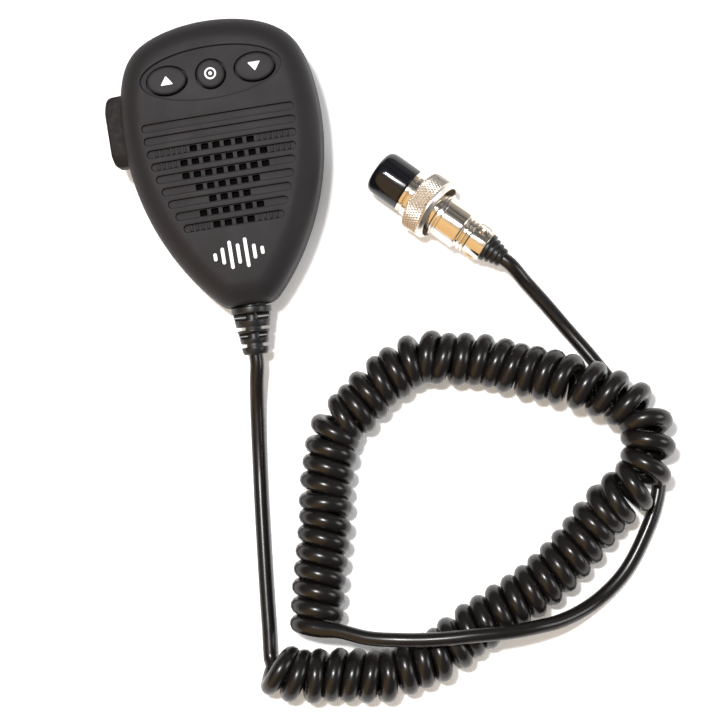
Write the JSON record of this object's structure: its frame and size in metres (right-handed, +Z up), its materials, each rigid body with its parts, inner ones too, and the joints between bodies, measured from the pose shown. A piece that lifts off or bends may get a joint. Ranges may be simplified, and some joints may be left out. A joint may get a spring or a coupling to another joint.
{
  "type": "hand microphone",
  "caption": "Hand-held radio microphone with a slotted face, key row, side talk lever and rear hang-up stud, on a curly cord that ends in a round plug with a screw coupling ring.",
  "frame": {"origin": "on the surface that the microphone lies on, under the middle of its case's bounding box", "axes": "+Y along the microphone towards its top, +X to its right seen from its face, +Z up. The case lies on its hang-up stud and its lower rear edge, so its face is tilted 6.5 degrees towards -Y"},
  "size_m": [0.1525, 0.2097, 0.0333],
  "materials": {
    "shell_plastic": "fine-textured moulded ABS, charcoal",
    "key_plastic": "smooth satin moulded plastic, charcoal",
    "lever_rubber": "matt elastomer-covered lever, brown black",
    "print_white": "white pad print",
    "cord_pvc": "smooth glossy PVC cord sheath",
    "boot_rubber": "satin moulded PVC strain relief",
    "plated_brass": "bright nickel plate, slightly warm",
    "plated_steel": "nickel-plated steel",
    "black_steel": "black oxide screw",
    "dust_cap_vinyl": "dip-moulded glossy vinyl",
    "felt": "black acoustic felt",
    "capsule_alloy": "spun aluminium can",
    "gasket_rubber": "soft rubber ring",
    "board_green": "solder-masked glass-epoxy laminate",
    "black_resin": "moulded epoxy resin",
    "capacitor_sleeve": "shrink-sleeved can",
    "nylon": "natural nylon",
    "wire_insulation": "coloured PVC wire insulation",
    "contact_metal": "gold-flashed brass",
    "insert_resin": "moulded phenolic",
    "fibre_washer": "vulcanised fibre"
  },
  "bodies": {
    "microphone": {"front_shell": "shell_plastic", "rear_shell": "shell_plastic", "grille_cloth": "felt", "mic_capsule": "capsule_alloy", "capsule_gasket": "gasket_rubber", "capsule_leads": "wire_insulation", "circuit_board": "board_green", "audio_chip": "black_resin", "board_capacitors": "capacitor_sleeve", "cord_header": "nylon", "harness_plug": "nylon", "harness_wires": "wire_insulation", "key_switches": "black_resin", "lever_pin": "plated_steel", "lever_spring": "plated_steel", "talk_switch": "black_resin", "hang_stud": "plated_steel", "stud_screw": "plated_steel", "case_screws": "black_steel", "cord_boot": "boot_rubber", "cord_inner": "cord_pvc", "cord_tie": "nylon", "cord_lead": "cord_pvc", "cord_curl": "cord_pvc", "cord_tail": "cord_pvc", "plug_boot": "boot_rubber", "plug_barrel": "plated_brass", "clamp_saddle": "plated_brass", "clamp_screws": "plated_steel", "plug_sleeve": "plated_brass", "plug_insert": "insert_resin", "plug_contacts": "contact_metal", "plug_set_screw": "plated_steel", "snap_ring": "plated_steel"},
    "up_key": {"up_key": "key_plastic", "up_switch_button": "black_resin"},
    "centre_key": {"centre_key": "key_plastic", "centre_switch_button": "black_resin"},
    "down_key": {"down_key": "key_plastic", "down_switch_button": "black_resin"},
    "talk_lever": {"talk_lever": "lever_rubber"},
    "talk_plunger": {"talk_switch_plunger": "nylon"},
    "ring_carrier": {"slip_washer": "fibre_washer"},
    "coupling_ring": {"coupling_ring": "plated_brass"},
    "dust_cap": {"dust_cap": "dust_cap_vinyl"}
  },
  "joints": [
    {"name": "up_key_press", "type": "slide", "parent": "microphone", "child": "up_key", "axis": [0, 0.1131, -0.9936], "range_m": [0, 0.0004], "stiffness_N_per_m": 400, "springref_m": -0.001},
    {"name": "centre_key_press", "type": "slide", "parent": "microphone", "child": "centre_key", "axis": [0, 0.1131, -0.9936], "range_m": [0, 0.0004], "stiffness_N_per_m": 400, "springref_m": -0.001},
    {"name": "down_key_press", "type": "slide", "parent": "microphone", "child": "down_key", "axis": [0, 0.1131, -0.9936], "range_m": [0, 0.0004], "stiffness_N_per_m": 400, "springref_m": -0.001},
    {"name": "talk_lever_press", "type": "hinge", "parent": "microphone", "child": "talk_lever", "pos_m": [-0.023, 0.02216, 0.01878], "axis": [0, -0.1131, 0.9936], "range_deg": [0, 5.5], "stiffness_Nm_per_rad": 0.3, "springref_deg": -5.73, "deforming": ["lever_spring"]},
    {"name": "talk_plunger_press", "type": "slide", "parent": "microphone", "child": "talk_plunger", "axis": [1, 0, 0], "range_m": [0, 0.00155]},
    {"name": "ring_slide", "type": "slide", "parent": "microphone", "child": "ring_carrier", "axis": [0.7046, -0.7096, 0], "range_m": [-0.0006, 0.002]},
    {"name": "ring_spin", "type": "hinge", "parent": "ring_carrier", "child": "coupling_ring", "pos_m": [0.06, -0.0214, 0.00996], "axis": [0.6939, -0.6988, 0.1736], "continuous": true},
    {"name": "dust_cap_pull", "type": "slide", "parent": "microphone", "child": "dust_cap", "axis": [-0.7046, 0.7096, 0], "range_m": [0, 0.014]}
  ],
  "couplings": [
    {"joint": "talk_plunger_press", "follows": "talk_lever_press", "m_per_rad": 0.0155}
  ]
}
